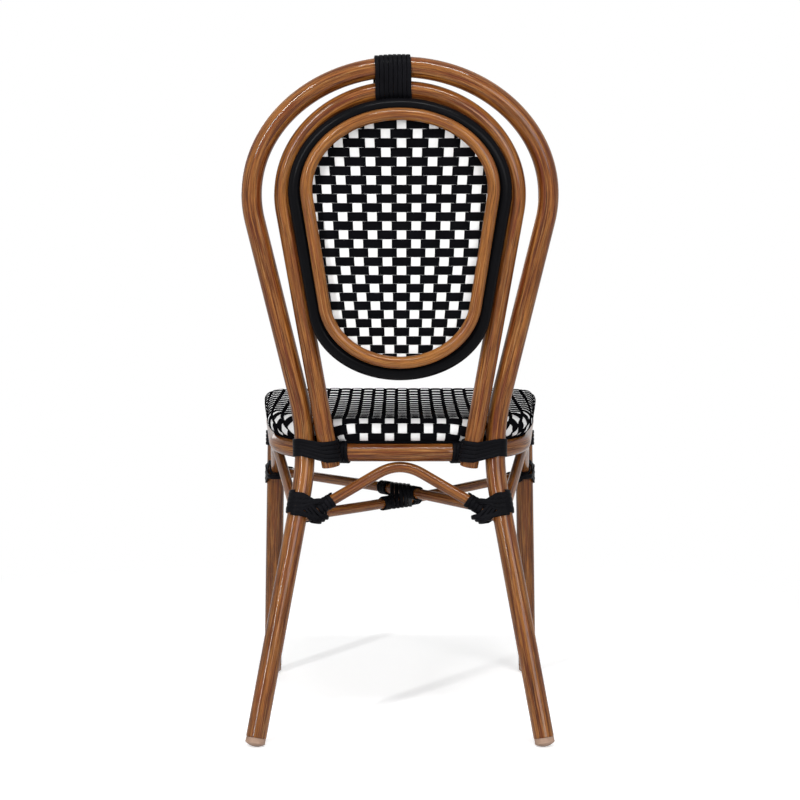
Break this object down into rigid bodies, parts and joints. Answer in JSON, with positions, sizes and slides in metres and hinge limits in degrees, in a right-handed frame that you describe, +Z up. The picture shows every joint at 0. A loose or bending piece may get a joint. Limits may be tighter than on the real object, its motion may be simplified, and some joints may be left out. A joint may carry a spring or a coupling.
{
  "type": "bistro side chair",
  "caption": "Cane-look stacking bistro chair: looped tube back, oval woven backrest, woven seat, splayed legs with braces, joints lashed with flat cane.",
  "frame": {"origin": "middle of the chair's outline, on the floor", "axes": "+Z up, the front of the chair faces -Y, +X to the sitter's left"},
  "size_m": [0.4306, 0.5246, 0.9033],
  "materials": {
    "bamboo_tube": "glossy lacquered print of brown bamboo on aluminium tube",
    "trim_tube": "glossy lacquered print of brown bamboo on a bent ring",
    "black_cane": "satin black flat polyethylene cane",
    "woven_cane": "satin black and white flat polyethylene cane, woven in a check",
    "frame_tube": "plain satin aluminium tube",
    "glide": "matte brown moulded plastic"
  },
  "bodies": {
    "root": {"arch_collar_left": "black_cane", "arch_collar_right": "black_cane", "back_frame_ring": "black_cane", "back_trim_ring": "trim_tube", "back_weave": "woven_cane", "cross_lashing": "black_cane", "front_glide_left": "glide", "front_glide_right": "glide", "front_leg_lashing_left": "black_cane", "front_leg_lashing_right": "black_cane", "front_leg_left": "bamboo_tube", "front_leg_right": "bamboo_tube", "front_upper_lashing_left": "black_cane", "front_upper_lashing_right": "black_cane", "inner_hoop": "bamboo_tube", "lower_stretcher": "bamboo_tube", "outer_hoop": "bamboo_tube", "rail_lashing_left": "black_cane", "rail_lashing_right": "black_cane", "rear_arch_brace": "bamboo_tube", "rear_glide_left": "glide", "rear_glide_right": "glide", "rear_leg_lashing_left": "black_cane", "rear_leg_lashing_right": "black_cane", "seat_frame": "frame_tube", "seat_lashing_left": "black_cane", "seat_lashing_right": "black_cane", "seat_rail": "bamboo_tube", "seat_weave": "woven_cane", "side_arch_left": "bamboo_tube", "side_arch_right": "bamboo_tube", "stretcher_collar_left": "black_cane", "stretcher_collar_right": "black_cane", "top_lashing": "black_cane", "upper_stretcher": "bamboo_tube"}
  },
  "joints": []
}
